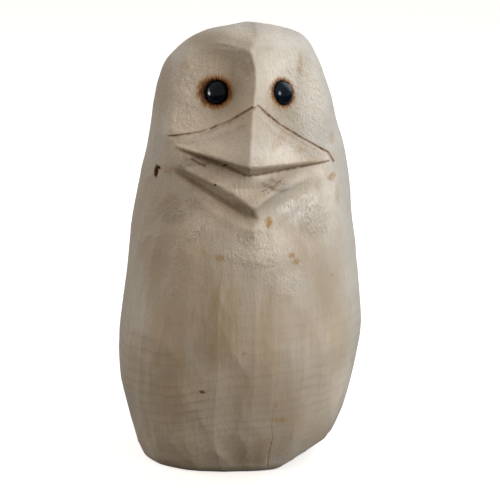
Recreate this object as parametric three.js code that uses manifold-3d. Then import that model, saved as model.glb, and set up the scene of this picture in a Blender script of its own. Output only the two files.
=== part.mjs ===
// A standing chick carved with a knife from one round billet of pale wood, with two domed bead eyes.
// Millimetres. It faces -Y, the picture's left is -X, and it stands on the flat underside at z = 0.
import * as THREE from "three";
import { ConvexGeometry } from "three/addons/geometries/ConvexGeometry.js";
import { mergeVertices } from "three/addons/utils/BufferGeometryUtils.js";
import Module from "manifold-3d";

const wasm = await Module();
wasm.setup();

// The billet
// Stations up the height: how far the blank reaches to the left, right, front and back of the axis,
// and how pointed its front half is in plan (2 is round, a lower number is nearer to a wedge).
const STATIONS = [
  { z: 0, left: 33.0, right: 26.5, front: 25.4, back: 25.0, pointLeft: 2.4, pointRight: 2.4 },
  { z: 3.5, left: 35.0, right: 28.3, front: 28.4, back: 28.5, pointLeft: 2.4, pointRight: 2.4 },
  { z: 14, left: 38.3, right: 33.9, front: 33.8, back: 33.0, pointLeft: 2.2, pointRight: 2.2 },
  { z: 27, left: 40.7, right: 38.1, front: 37.2, back: 35.5, pointLeft: 2.05, pointRight: 2.05 },
  { z: 42, left: 40.8, right: 40.7, front: 38.6, back: 36.0, pointLeft: 2.0, pointRight: 2.0 },
  { z: 57, left: 38.9, right: 40.4, front: 38.2, back: 35.2, pointLeft: 1.95, pointRight: 1.95 },
  { z: 72, left: 37.0, right: 38.9, front: 37.0, back: 33.8, pointLeft: 1.8, pointRight: 1.85 },
  { z: 84, left: 35.4, right: 37.6, front: 37.6, back: 32.5, pointLeft: 1.5, pointRight: 1.6 },
  { z: 94, left: 33.4, right: 36.8, front: 39.4, back: 31.5, pointLeft: 1.36, pointRight: 1.42 },
  { z: 104, left: 31.1, right: 34.8, front: 40.6, back: 30.5, pointLeft: 1.4, pointRight: 1.4 },
  { z: 112, left: 29.6, right: 32.3, front: 38.8, back: 29.0, pointLeft: 1.48, pointRight: 1.35 },
  { z: 120, left: 28.3, right: 30.6, front: 35.0, back: 27.2, pointLeft: 1.5, pointRight: 1.25 },
  { z: 127, left: 26.6, right: 28.2, front: 31.0, back: 24.5, pointLeft: 1.45, pointRight: 1.22 },
  { z: 133, left: 24.2, right: 25.9, front: 27.4, back: 21.0, pointLeft: 1.44, pointRight: 1.3 },
  { z: 138.5, left: 18.8, right: 22.6, front: 23.8, back: 15.5, pointLeft: 1.6, pointRight: 1.5 },
  { z: 142, left: 13.0, right: 18.6, front: 20.0, back: 11.0, pointLeft: 1.8, pointRight: 1.7 },
  { z: 144.3, left: 5.0, right: 11.5, front: 11.5, back: 6.0, pointLeft: 1.9, pointRight: 1.9 },
];
const CROWN = { x: 3.2, y: -2, z: 145 };
const BACK_POINT = 2.0;
const KNIFE_FLATS = 34; // long flats round the blank
const WOBBLE = { share: 0.22, turn: 2.4, start: 0.6 }; // how unevenly wide the flats are, of one flat
const ROWS_PER_STATION = 2; // rows of flats from one station to the next

// The underside is bevelled off at the picture's lower right: three points on that saw cut.
const BEVEL = [[8.0, -26.5, 0], [20.2, -20.0, 4.9], [27.6, -7.0, 5.2]];

// Two bands pared back above the brow, left and right: three points on each
const BROW_BANDS = [
  [[-0.5, -19.0, 141.0], [-12.5, -11.0, 138.8], [-1.2, -15.0, 142.7]],
  [[4.5, -19.2, 141.0], [14.9, -12.0, 139.6], [5.6, -15.4, 142.8]],
];

// The face planes: each a long hollow cut that meets the other in the ridge between the eyes.
const RIDGE = [2.5, -26.4, 128.0];
const CHEEK_LEFT = [[-25.0, -16.2, 110.5], [-19.2, -10.2, 133.0]];
const CHEEK_RIGHT = [[26.0, -15.5, 106.3], [18.1, -10.0, 137.0]];
const HOLLOW_LEFT = { radius: 38, tall: 1.9 };
const HOLLOW_RIGHT = { radius: 110, tall: 1.2 };
const GOUGE_STEPS = [120, 80]; // round the gouge's sweep, and along it

// The stop cut where the beak grows out of the face, seen from the front, left to right
const ROOT_LINE = [
  [-24.2, 110.7], [-14.8, 113.2], [-7.2, 116.8], [0.9, 121.8], [2.9, 122.2],
  [10.2, 115.5], [15.4, 112.0], [19.5, 109.2], [27.0, 104.6], [29.5, 101.0],
];
const ROOT_RUN_OUT = { left: 108.5, right: 84, past: 6 }; // heights where the cut leaves the sides

// The beak, jaw and throat, each point where its edge shows from the front
const BEAK_ROOT = [1.0, -30.6, 121.2];
const BEAK_TIP = [-1.0, -39.5, 104.6];
const MOUTH = [-0.5, -35.0, 101.6];
const MOUTH_LEFT = [-24.4, -17.0, 108.1];
const MOUTH_RIGHT = [27.7, -17.0, 102.0];
const CHIN = [0.7, -38.0, 92.8];
const THROAT = [0.9, -35.0, 87.8];
const THROAT_LEFT = [-21.8, -18.7, 99.4];
const THROAT_RIGHT = [20.3, -22.0, 97.9];
const CHEST_SLOPE = [0, -11.0, -19.0]; // how the pared slope runs out from the throat on to the chest
const PAST_MIDDLE = 1.2; // each cut runs on past the middle to here, in its own lengths
const PAST_CORNER = 1.02; // and the beak's side on past the corner of the mouth
const PAST_THROAT = 1.3; // and the throat on past its outer end
const BEAK_SIDE = 1.6; // how far up the beak's side is cut, in lengths of its ridge
const MOUTH_ROOF = 4; // how far out the two faces of the mouth cut open, in their own lengths
const JAW_SIDE = 1.2;
const JAW_UNDERSIDE = 4;
const AHEAD = 30; // clear of the wood in front

// The eyes: domed beads on a short shank, sunk square into the face planes
const BEAD_RADIUS = 4.0;
const DOME_HEIGHT = 2.4;
const SHANK = 1.7;
const BEAD_GAP = 0.3;
const BEAD_STEPS = 40;
const DOME_STEPS = 8;
const EYES = [
  { name: "eye_left", at: [-9.1, -16.8, 124.8], turn: -38, lean: 19 },
  { name: "eye_right", at: [11.8, -19.0, 124.7], turn: 37, lean: 18 },
];

const point = (p) => new THREE.Vector3(...p);

// A closed geometry as a solid that can be joined to others and cut by them.
function solid(geometry) {
  const bare = geometry.clone();
  bare.deleteAttribute("normal");
  bare.deleteAttribute("uv");
  const merged = mergeVertices(bare, 1e-4);
  return new wasm.Manifold(
    new wasm.Mesh({
      numProp: 3,
      vertProperties: merged.attributes.position.array,
      triVerts: new Uint32Array(merged.index.array),
    }),
  );
}

// A smooth value between the stations, by Catmull-Rom through the named column.
function between(column, t) {
  const last = STATIONS.length - 1;
  const i = Math.min(Math.floor(t), last - 1);
  const f = t - i;
  const at = (k) => STATIONS[Math.max(0, Math.min(last, k))][column];
  const [a, b, c, d] = [at(i - 1), at(i), at(i + 1), at(i + 2)];
  return b + 0.5 * f * (c - a + f * (2 * a - 5 * b + 4 * c - d + f * (3 * (b - c) + d - a)));
}

// The billet roughed to shape: rings of knife flats, closed flat below and to a point on the crown.
function blank() {
  const rings = (STATIONS.length - 1) * ROWS_PER_STATION;
  const vertices = [];
  for (let r = 0; r <= rings; r++) {
    const t = r / ROWS_PER_STATION;
    const [z, left, right] = [between("z", t), between("left", t), between("right", t)];
    const [front, back] = [between("front", t), between("back", t)];
    const [pointLeft, pointRight] = [between("pointLeft", t), between("pointRight", t)];
    for (let k = 0; k < KNIFE_FLATS; k++) {
      const wobble = WOBBLE.share * Math.sin(k * WOBBLE.turn + WOBBLE.start);
      const a = ((k + wobble) / KNIFE_FLATS) * 2 * Math.PI;
      const [c, s] = [Math.cos(a), Math.sin(a)];
      const power = 2 / (s >= 0 ? BACK_POINT : c < 0 ? pointLeft : pointRight);
      const x = Math.sign(c) * Math.abs(c) ** power * (c < 0 ? left : right);
      const y = Math.sign(s) * Math.abs(s) ** power * (s < 0 ? front : back);
      vertices.push(x, y, z);
    }
  }
  const top = vertices.length / 3;
  const bottom = top + 1;
  vertices.push(CROWN.x, CROWN.y, CROWN.z, 0, 0, 0);
  const faces = [];
  for (let k = 0; k < KNIFE_FLATS; k++) {
    const n = (k + 1) % KNIFE_FLATS;
    for (let r = 0; r < rings; r++) {
      const [a, b] = [r * KNIFE_FLATS + k, r * KNIFE_FLATS + n];
      const [c, d] = [a + KNIFE_FLATS, b + KNIFE_FLATS];
      faces.push(a, b, d, a, d, c);
    }
    const last = rings * KNIFE_FLATS;
    faces.push(last + k, last + n, top);
    faces.push(n, k, bottom);
  }
  const geometry = new THREE.BufferGeometry();
  geometry.setAttribute("position", new THREE.Float32BufferAttribute(vertices, 3));
  geometry.setIndex(faces);
  return solid(geometry);
}

// Everything above the stop cut, as a prism that runs from front to back.
function aboveRootLine() {
  const [reach, top, depth] = [60, 170, 160];
  const outline = new THREE.Shape();
  outline.moveTo(-reach, top);
  outline.lineTo(-reach, ROOT_RUN_OUT.left);
  ROOT_LINE.forEach(([x, z]) => outline.lineTo(x, z));
  outline.lineTo(ROOT_LINE.at(-1)[0] + ROOT_RUN_OUT.past, ROOT_RUN_OUT.right);
  outline.lineTo(reach, ROOT_RUN_OUT.right);
  outline.lineTo(reach, top);
  const prism = new THREE.ExtrudeGeometry(outline, { depth, bevelEnabled: false });
  prism.rotateX(Math.PI / 2);
  prism.translate(0, depth / 2, 0);
  return solid(prism);
}

// One face plane's gouge: an oval ball whose side passes through the ridge and the cheek's edge.
function hollow([cheekLow, cheekTop], { radius, tall }) {
  const ridge = point(RIDGE);
  const cheek = point(cheekLow).lerp(point(cheekTop), 0.5);
  const across = cheek.clone().sub(ridge);
  const along = point(cheekTop).sub(point(cheekLow)).normalize();
  const out = new THREE.Vector3().crossVectors(across, along).normalize();
  if (out.y > 0) out.negate();
  const side = new THREE.Vector3().crossVectors(along, out);
  const rise = Math.sqrt(radius ** 2 - across.lengthSq() / 4);
  const centre = ridge.lerp(cheek, 0.5).addScaledVector(out, rise);
  const ball = new THREE.SphereGeometry(radius, ...GOUGE_STEPS);
  ball.scale(1, tall, 1);
  ball.applyMatrix4(new THREE.Matrix4().makeBasis(side, along, out).setPosition(centre));
  return solid(ball);
}

// Everything outside the plane through three points, on the side that `outward` points to.
function outside([a, b, c], outward) {
  const reach = 200;
  const [p, q, r] = [point(a), point(b), point(c)];
  const normal = new THREE.Vector3().crossVectors(q.sub(p), r.sub(p)).normalize();
  if (normal.dot(point(outward)) < 0) normal.negate();
  const slab = new THREE.BoxGeometry(reach, reach, reach);
  slab.translate(0, 0, reach / 2);
  slab.applyQuaternion(new THREE.Quaternion().setFromUnitVectors(new THREE.Vector3(0, 0, 1), normal));
  slab.translate(p.x, p.y, p.z);
  return solid(slab);
}

// A knife cut with two flat faces that meet in the line from a to b: they run out along the steps
// first and second, and ahead is a third step, clear of the wood.
function wedge(a, b, first, second, ahead) {
  const corners = [];
  for (const end of [point(a), point(b)]) {
    for (const leg of [[0, 0, 0], first, second, ahead]) corners.push(end.clone().add(point(leg)));
  }
  return solid(new ConvexGeometry(corners));
}

const step = (from, to, factor) => point(to).sub(point(from)).multiplyScalar(factor).toArray();
const past = (from, to, factor) => point(from).lerp(point(to), factor).toArray();

// One side of the beak, from its ridge down to the upper lip
function beakSide(corner) {
  const [inner, outer] = [past(corner, BEAK_TIP, PAST_MIDDLE), past(BEAK_TIP, corner, PAST_CORNER)];
  return wedge(inner, outer, step(BEAK_TIP, BEAK_ROOT, BEAK_SIDE), [0, -AHEAD, 0], [0, -AHEAD, AHEAD]);
}

// One half of the mouth, which leaves the upper lip above it and the side of the jaw below it
function mouthHalf(corner) {
  const roof = step(MOUTH, BEAK_TIP, MOUTH_ROOF);
  return wedge(past(corner, MOUTH, PAST_MIDDLE), corner, roof, step(MOUTH, CHIN, JAW_SIDE), [0, -AHEAD, 0]);
}

// One half of the throat: the underside of the jaw, and the slope on to the chest
function throatHalf(end) {
  const [inner, outer] = [past(end, THROAT, PAST_MIDDLE), past(THROAT, end, PAST_THROAT)];
  return wedge(inner, outer, step(THROAT, CHIN, JAW_UNDERSIDE), CHEST_SLOPE, [0, -AHEAD, 0]);
}

// The direction an eye looks in: turned from straight ahead towards +X, then leaned back
function gaze({ turn, lean }) {
  const [t, l] = [THREE.MathUtils.degToRad(turn), THREE.MathUtils.degToRad(lean)];
  return new THREE.Vector3(Math.sin(t) * Math.cos(l), -Math.cos(t) * Math.cos(l), Math.sin(l));
}

// Turns a geometry made along +Y so that it stands on the eye's place, along its gaze.
function seat(geometry, eye) {
  geometry.applyQuaternion(new THREE.Quaternion().setFromUnitVectors(new THREE.Vector3(0, 1, 0), gaze(eye)));
  geometry.translate(...eye.at);
  return solid(geometry);
}

function socket(eye) {
  const radius = BEAD_RADIUS + BEAD_GAP;
  const depth = SHANK + BEAD_GAP;
  return seat(new THREE.CylinderGeometry(radius, radius, 2 * depth, BEAD_STEPS), eye);
}

function bead(eye) {
  const profile = [new THREE.Vector2(0, -SHANK), new THREE.Vector2(BEAD_RADIUS, -SHANK)];
  for (let i = 0; i < DOME_STEPS; i++) {
    const a = (i / DOME_STEPS) * (Math.PI / 2);
    profile.push(new THREE.Vector2(BEAD_RADIUS * Math.cos(a), DOME_HEIGHT * Math.sin(a)));
  }
  profile.push(new THREE.Vector2(0, DOME_HEIGHT));
  return seat(new THREE.LatheGeometry(profile, BEAD_STEPS), eye);
}

// The whole bird, cut in the order that a carver would cut it
function carving() {
  let bird = blank().subtract(outside(BEVEL, [0.4, 0, -1]));
  for (const band of BROW_BANDS) bird = bird.subtract(outside(band, [0, -0.5, 1]));
  const face = aboveRootLine();
  const hollows = hollow(CHEEK_LEFT, HOLLOW_LEFT).add(hollow(CHEEK_RIGHT, HOLLOW_RIGHT));
  const faceKept = face.subtract(hollows);
  bird = bird.subtract(hollows.intersect(face));
  for (const [corner, end] of [[MOUTH_LEFT, THROAT_LEFT], [MOUTH_RIGHT, THROAT_RIGHT]]) {
    bird = bird.subtract(beakSide(corner).subtract(faceKept));
    bird = bird.subtract(mouthHalf(corner));
    bird = bird.subtract(throatHalf(end));
  }
  for (const eye of EYES) bird = bird.subtract(socket(eye));
  return bird;
}

function paleWood() {
  return new THREE.MeshStandardMaterial({ color: 0xd9cfbf, roughness: 0.6, metalness: 0 });
}

function glossyBlack() {
  return new THREE.MeshStandardMaterial({ color: 0x0b0c10, roughness: 0.08, metalness: 0 });
}

function mesh(name, made, material) {
  const { vertProperties, triVerts } = made.getMesh();
  const geometry = new THREE.BufferGeometry();
  geometry.setAttribute("position", new THREE.Float32BufferAttribute(vertProperties, 3));
  geometry.setIndex(Array.from(triVerts));
  const m = new THREE.Mesh(geometry, material);
  m.name = name;
  return m;
}

const chick = new THREE.Group();
chick.name = "carved_wooden_chick";
chick.add(mesh("body", carving(), paleWood()));
for (const eye of EYES) chick.add(mesh(eye.name, bead(eye), glossyBlack()));
export default chick;
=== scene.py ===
import math
from functools import reduce
from itertools import combinations

import bmesh
import bpy
import numpy as np
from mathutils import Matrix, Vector


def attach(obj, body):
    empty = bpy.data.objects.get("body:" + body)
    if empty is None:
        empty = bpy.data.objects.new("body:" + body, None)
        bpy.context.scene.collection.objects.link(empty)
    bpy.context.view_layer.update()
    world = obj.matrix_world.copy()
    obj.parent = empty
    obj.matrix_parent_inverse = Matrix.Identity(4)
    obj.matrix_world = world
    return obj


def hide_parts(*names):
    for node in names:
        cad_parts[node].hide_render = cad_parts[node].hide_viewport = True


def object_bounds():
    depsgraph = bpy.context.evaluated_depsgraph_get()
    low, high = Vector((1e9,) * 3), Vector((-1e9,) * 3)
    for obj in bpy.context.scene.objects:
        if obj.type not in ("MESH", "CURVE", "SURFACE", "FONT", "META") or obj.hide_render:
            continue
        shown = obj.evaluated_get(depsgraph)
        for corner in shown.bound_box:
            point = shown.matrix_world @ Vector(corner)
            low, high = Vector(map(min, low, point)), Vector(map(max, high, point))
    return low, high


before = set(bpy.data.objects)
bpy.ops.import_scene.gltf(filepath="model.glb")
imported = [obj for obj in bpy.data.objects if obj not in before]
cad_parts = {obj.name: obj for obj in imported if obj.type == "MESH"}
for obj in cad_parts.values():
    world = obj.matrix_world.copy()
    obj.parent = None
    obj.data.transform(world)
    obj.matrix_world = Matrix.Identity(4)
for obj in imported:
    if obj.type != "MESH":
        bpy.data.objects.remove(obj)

cad_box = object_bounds()
MM = 0.001

# The carved body
# One round billet of pale, close-grained wood. The carver rounded it with long knife strokes, hollowed
# the two face planes with a gouge, and cut the beak, the mouth, the jaw and the throat below them.
# Each row: height, reach to the left, right, front and back, how pointed the front is at left and right
STATIONS = np.array([
    [0, 33.0, 26.5, 25.4, 25.0, 2.4, 2.4],
    [3.5, 35.0, 28.3, 28.4, 28.5, 2.4, 2.4],
    [14, 38.3, 33.9, 33.8, 33.0, 2.2, 2.2],
    [27, 40.7, 38.1, 37.2, 35.5, 2.05, 2.05],
    [42, 40.8, 40.7, 38.6, 36.0, 2.0, 2.0],
    [57, 38.9, 40.4, 38.2, 35.2, 1.95, 1.95],
    [72, 37.0, 38.9, 37.0, 33.8, 1.8, 1.85],
    [84, 35.4, 37.6, 37.6, 32.5, 1.5, 1.6],
    [94, 33.4, 36.8, 39.4, 31.5, 1.36, 1.42],
    [104, 31.1, 34.8, 40.6, 30.5, 1.4, 1.4],
    [112, 29.6, 32.3, 38.8, 29.0, 1.48, 1.35],
    [120, 28.3, 30.6, 35.0, 27.2, 1.5, 1.25],
    [127, 26.6, 28.2, 31.0, 24.5, 1.45, 1.22],
    [133, 24.2, 25.9, 27.4, 21.0, 1.44, 1.3],
    [138.5, 18.8, 22.6, 23.8, 15.5, 1.6, 1.5],
    [142, 13.0, 18.6, 20.0, 11.0, 1.8, 1.7],
    [144.3, 5.0, 11.5, 11.5, 6.0, 1.9, 1.9],
])
BACK_POINT = 2.0
CROWN = {"x": 3.2, "y": -2.0, "z": 145.0, "radius": 48.0}
BEVEL = [[8.0, -26.5, 0.0], [20.2, -20.0, 4.9], [27.6, -7.0, 5.2]]
BROW_BANDS = [
    [[-0.5, -19.0, 141.0], [-12.5, -11.0, 138.8], [-1.2, -15.0, 142.7]],
    [[4.5, -19.2, 141.0], [14.9, -12.0, 139.6], [5.6, -15.4, 142.8]],
]
RIDGE = np.array([2.5, -26.4, 128.0])
CHEEK_RIGHT = np.array([[26.0, -15.5, 106.3], [18.1, -10.0, 137.0]])
HOLLOW_RIGHT = {"radius": 110.0, "tall": 1.2}
HOLLOW_LEFT = np.array([  # height, cheek's edge x and y, ridge x and y, depth between them
    [104.0, -24.6, -16.6, -2.9, -36.0, 6.2],
    [108.0, -24.3, -16.3, -2.3, -34.8, 6.6],
    [112.0, -24.0, -15.9, -1.6, -33.4, 7.0],
    [116.1, -23.3, -15.2, -0.7, -32.0, 7.2],
    [120.7, -22.6, -14.0, 0.2, -30.4, 6.8],
    [125.3, -21.8, -12.6, 1.6, -28.0, 5.8],
    [129.4, -20.8, -11.4, 2.3, -25.9, 4.6],
    [133.0, -19.4, -10.4, 1.9, -24.1, 3.4],
    [136.0, -17.2, -9.7, 0.4, -22.7, 2.3],
    [138.4, -14.8, -9.3, -1.6, -20.7, 1.2],
    [140.4, -12.4, -9.0, -3.6, -18.4, 0.4],
    [142.4, -14.0, -11.4, -5.0, -20.4, 0.0],
    [145.0, -18.0, -15.4, -9.0, -24.4, 0.0],
])
VALLEY = {"at": 0.46, "round": 0.4, "lift": 0.9, "near": 5.5}
ROOT_LINE = np.array([  # the stop cut above the beak, seen from the front
    [-60.0, 108.5], [-24.2, 110.7], [-14.8, 113.2], [-7.2, 116.8], [0.9, 121.8], [2.9, 122.2],
    [10.2, 115.5], [15.4, 112.0], [19.5, 109.2], [27.0, 104.6], [29.5, 101.0], [35.5, 84.0], [60.0, 84.0],
])
BEAK_ROOT = np.array([1.0, -30.6, 121.2])
BEAK_TIP = np.array([-1.0, -39.5, 104.6])
MOUTH = np.array([-0.5, -34.4, 101.3])
MOUTH_CORNERS = np.array([[-24.4, -17.0, 108.1], [27.7, -17.0, 102.0]])
CHIN = np.array([0.7, -38.8, 92.8])
THROAT = np.array([0.9, -33.6, 87.4])
THROAT_ENDS = np.array([[-21.8, -18.7, 99.4], [20.3, -22.0, 97.9]])
CHEST_SLOPE = [0.0, -11.0, -19.0]
MOUTH_SOFT = [2.2, 0.5]  # how far each cut is rounded in its depth, left and right
THROAT_SOFT = [1.2, 4.5]
JAW_ROUND = 10.0
CHEST_ROUND = 7.0
ROUNDING = {  # how far the edge of each cut is rounded
    "crown": 1.6, "foot": 0.6, "bevel": 0.8, "brow": 0.8, "face": 0.8, "right_cheek": 2.5,
    "beak": 0.6, "mouth": 0.5, "throat": 1.5, "throat_edge": 0.9, "socket": 0.2,
}
KEPT_STEP = 0.8  # how far inside the hollows the cuts beside the beak stop
# Lines scored into the front with the knife's point: how wide, how deep, then points across and up
SCORES = [
    [1.0, 0.20, [-24.2, 110.7], [-16.5, 112.7]],
    [1.1, 0.45, [-16.5, 112.7], [-14.8, 113.2], [-7.2, 116.8], [0.9, 121.9]],
    [1.1, 0.35, [2.9, 122.2], [10.2, 115.5], [15.4, 112.0], [19.5, 109.2], [27.0, 104.6], [29.0, 101.4]],
    [0.8, 0.30, [-0.5, 101.2], [13.0, 101.5], [27.0, 102.0]],
    # A wide, shallow line under the left lip: its depth also paints the shadow below the beak there
    [2.2, 0.24, [-22.0, 107.3], [-12.0, 104.6], [-0.5, 101.2]],
    [1.0, 0.35, [-17.5, 104.6], [-15.8, 103.6], [-13.4, 102.9]],
    [0.5, 0.25, [3.4, 96.0], [7.2, 97.0], [10.8, 99.3]],
    [0.5, 0.20, [5.2, 95.4], [8.6, 97.4]],
    [0.8, 0.18, [6.9, 24.4], [6.5, 19.0], [7.1, 14.0], [6.2, 8.0], [6.0, 2.4]],
]
EYES = {  # where each bead's rim sits, and how far it is turned to the right and leaned back
    "left": {"at": [-9.1, -15.5, 124.7], "turn": -36.0, "lean": 19.0, "squash": 0.9, "scorch": 0.95},
    "right": {"at": [11.8, -19.0, 124.7], "turn": 33.0, "lean": 18.0, "squash": 0.9, "scorch": 0.75},
}
BEAD_RADIUS = 3.65
SOCKET = {"radius": 3.85, "depth": 2.0}


def rounded_max(a, b, radius):
    """The larger of two distances, with the edge between them rounded off."""
    close = np.maximum(radius - np.abs(a - b), 0)
    return np.maximum(a, b) + close * close / (4 * radius)


def spline(rows, steps=12):
    """A smooth curve through the rows."""
    ends = np.vstack([rows[:1], rows, rows[-1:]])
    t = np.linspace(0, 1, steps, endpoint=False)[:, None]
    legs = [
        b + 0.5 * t * (c - a + t * (2 * a - 5 * b + 4 * c - d + t * (3 * (b - c) + d - a)))
        for a, b, c, d in zip(ends, ends[1:], ends[2:], ends[3:])
    ]
    return np.vstack(legs + [rows[-1:]])


PROFILE = spline(STATIONS)
# Where the long knife strokes meet, in degrees from the front towards the picture's right
STROKE_EDGES = np.array([
    -192, -169, -151, -128, -110, -93, -76, -60, -42, -33, -16.5, 1.5,
    10, 27, 41, 58, 74, 92, 113, 131, 149, 168, 191.0,
])
CROWN_FLATS = [  # across, along, and how deep the flat is cut
    [-2.2, -9.5, 0.5], [8.8, -10.0, 0.55], [-11.0, -7.0, 0.35], [17.5, -5.5, 0.35],
    [-3.0, 3.0, 0.2], [9.0, 3.5, 0.25], [-13.0, 6.0, 0.4], [18.0, 8.0, 0.4],
    [2.0, 15.0, 0.4], [-8.0, 15.5, 0.5], [12.5, 16.0, 0.5],
]


def strokes(x, y, z):
    """How deep the long knife strokes have shaved the billet: flats round it, from edge to edge."""
    turn = np.degrees(np.arctan2(x, -y)) + 2.2 * np.sin(z / 19 + 0.7) + 0.9 * np.sin(z / 7.3 + x / 30)
    i = np.clip(np.searchsorted(STROKE_EDGES, turn), 1, len(STROKE_EDGES) - 1)
    half = np.radians(STROKE_EDGES[i] - STROKE_EDGES[i - 1]) / 2
    off = np.radians(turn - STROKE_EDGES[i - 1]) - half
    return 0.5 * np.hypot(x, y) * (half * half - off * off) * np.interp(z, [66, 92], [0.7, 0.45])


def billet(x, y, z):
    """How far a place is outside the roughed-out billet, measured from its axis."""
    tiny = 1e-3  # keeps the axis itself from dividing by nothing
    reaches = [np.interp(z, PROFILE[:, 0], column) for column in PROFILE[:, 1:].T]
    left, right, front, back, point_left, point_right = reaches
    across = np.abs(x) / np.where(x < 0, left, right)
    along = np.abs(y) / np.where(y < 0, front, back)
    power = np.where(y > 0, BACK_POINT, np.where(x < 0, point_left, point_right))
    share = (across ** power + along ** power) ** (1 / power) + tiny / 30
    from_axis = np.hypot(x, y) + tiny
    return from_axis * (1 - 1 / share) + strokes(x, y, z)


def flat(points, outward):
    """How far a place is beyond a flat cut through three points, on the side that outward points to."""
    a, b, c = np.array(points, float)
    normal = np.cross(b - a, c - a)
    normal *= np.sign(normal @ np.array(outward)) / np.linalg.norm(normal)
    return lambda x, y, z: normal[0] * (x - a[0]) + normal[1] * (y - a[1]) + normal[2] * (z - a[2])


def gouge(cheek, radius, tall):
    """The oval ball that hollows one face plane, through the ridge and the cheek's edge."""
    middle = cheek.mean(axis=0)
    up = (cheek[1] - cheek[0]) / np.linalg.norm(cheek[1] - cheek[0])
    out = np.cross(middle - RIDGE, up)
    out *= -np.sign(out[1]) / np.linalg.norm(out)
    side = np.cross(up, out)
    rise = math.sqrt(radius ** 2 - np.sum((middle - RIDGE) ** 2) / 4)
    centre = (RIDGE + middle) / 2 + rise * out

    def tool(x, y, z):
        dx, dy, dz = x - centre[0], y - centre[1], z - centre[2]
        a, b, c = (dx * d[0] + dy * d[1] + dz * d[2] for d in (side, up, out))
        return np.sqrt(a * a + (b / tall) ** 2 + c * c) - radius

    return tool


def dish(x, y, z):
    """The hollow of the left face plane: two cuts that run into each other in a soft valley."""
    here = [np.interp(z, DISH[:, 0], column) for column in DISH[:, 1:].T]
    cheek_x, cheek_y, ridge_x, ridge_y, depth = here
    width = np.hypot(ridge_x - cheek_x, ridge_y - cheek_y)
    u, v = (ridge_x - cheek_x) / width, (ridge_y - cheek_y) / width
    from_x, from_y = x - ridge_x, y - ridge_y
    share = -(from_x * u + from_y * v) / width
    out = from_x * v - from_y * u
    inner, outer = share / VALLEY["at"], (1 - share) / (1 - VALLEY["at"])
    lifted = 1 - np.clip(above_root(x, z) / VALLEY["near"], 0, 1)
    depth = depth * (1 - VALLEY["lift"] * lifted * lifted)
    cut = depth * -rounded_max(-inner, -outer, VALLEY["round"])
    return -(out + cut) / np.sqrt(1.05 + (depth / (0.5 * width)) ** 2)


DISH = spline(HOLLOW_LEFT, 6)


def wedge(a, b, first, second, ahead, soft=0.01):
    """A knife cut: two flat faces that meet in the line from a to b and run out along first and second."""
    legs = np.array([[0, 0, 0], first, second, ahead], float)
    corners = np.vstack([a + legs, b + legs])
    faces = {}
    for p, q, r in combinations(corners, 3):
        normal = np.cross(q - p, r - p)
        if np.linalg.norm(normal) < 1e-6:
            continue
        normal /= np.linalg.norm(normal)
        heights = (corners - p) @ normal
        if heights.min() > -1e-6:
            normal = -normal
        elif heights.max() > 1e-6:
            continue
        faces[tuple(np.round(normal, 4))] = (normal, p @ normal)

    def tool(x, y, z):
        sides = (n[0] * x + n[1] * y + n[2] * z - d for n, d in faces.values())
        return reduce(lambda p, q: rounded_max(p, q, soft), sides)

    return tool


def past(start, end, factor):
    """The point that is factor times as far from start as end is."""
    return start + (end - start) * factor


def gaze(eye):
    """The direction in which an eye looks."""
    turn, lean = math.radians(eye["turn"]), math.radians(eye["lean"])
    return np.array([math.sin(turn) * math.cos(lean), -math.cos(turn) * math.cos(lean), math.sin(lean)])


def socket(eye):
    """The round drilled seat of an eye's bead."""
    at, axis = np.array(eye["at"]), gaze(eye)

    def tool(x, y, z):
        dx, dy, dz = x - at[0], y - at[1], z - at[2]
        along = dx * axis[0] + dy * axis[1] + dz * axis[2]
        from_axis = np.sqrt(np.maximum(dx * dx + dy * dy + dz * dz - along * along, 0))
        return np.maximum(from_axis - SOCKET["radius"], -along - SOCKET["depth"])

    return tool


AHEAD = 30.0
underside_bevel = flat(BEVEL, [0.4, 0, -1])
brow_cuts = [flat(band, [0, -0.5, 1]) for band in BROW_BANDS]
face_right = gouge(CHEEK_RIGHT, **HOLLOW_RIGHT)
beak_sides = [
    wedge(past(corner, BEAK_TIP, 1.2), past(BEAK_TIP, corner, 1.02),
          1.6 * (BEAK_ROOT - BEAK_TIP), [0, -AHEAD, 0], [0, -AHEAD, AHEAD])
    for corner in MOUTH_CORNERS
]
mouth_cuts = [
    wedge(past(corner, MOUTH, 1.2), corner,
          4 * (BEAK_TIP - MOUTH), 1.2 * (CHIN - MOUTH), [0, -AHEAD, 0], soft)
    for corner, soft in zip(MOUTH_CORNERS, MOUTH_SOFT)
]
throat_cuts = [
    wedge(past(end, THROAT, 1.2), past(THROAT, end, 1.3),
          4 * (CHIN - THROAT), CHEST_SLOPE, [0, -AHEAD, 0], soft)
    for end, soft in zip(THROAT_ENDS, THROAT_SOFT)
]
sockets = [socket(eye) for eye in EYES.values()]


def from_line(x, z, line):
    """How far a place is from a line of points, seen from the front."""
    nearest = np.full(np.shape(x), 99.0)
    for (ax, az), (bx, bz) in zip(line, line[1:]):
        long = (bx - ax) ** 2 + (bz - az) ** 2
        share = np.clip(((x - ax) * (bx - ax) + (z - az) * (bz - az)) / long, 0, 1)
        nearest = np.minimum(nearest, np.hypot(x - ax - share * (bx - ax), z - az - share * (bz - az)))
    return nearest


def scored(x, y, z):
    """How deep the scored lines are cut at a place."""
    cuts = (deep * np.clip(1 - 2 * from_line(x, z, line) / wide, 0, 1) for wide, deep, *line in SCORES)
    return reduce(np.maximum, cuts) * (y < -8)


def above_root(x, z):
    """How far a place is above the stop cut where the beak grows out of the face."""
    slope = np.gradient(ROOT_LINE[:, 1], ROOT_LINE[:, 0])
    lean = np.interp(x, ROOT_LINE[:, 0], slope)
    return (z - np.interp(x, ROOT_LINE[:, 0], ROOT_LINE[:, 1])) / np.sqrt(1 + lean * lean)


def throat_line(x):
    """The height of the throat cut, seen from the front."""
    across, _, height = np.array([THROAT_ENDS[0], THROAT, THROAT_ENDS[1]]).T
    return np.interp(x, across, height)


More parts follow.
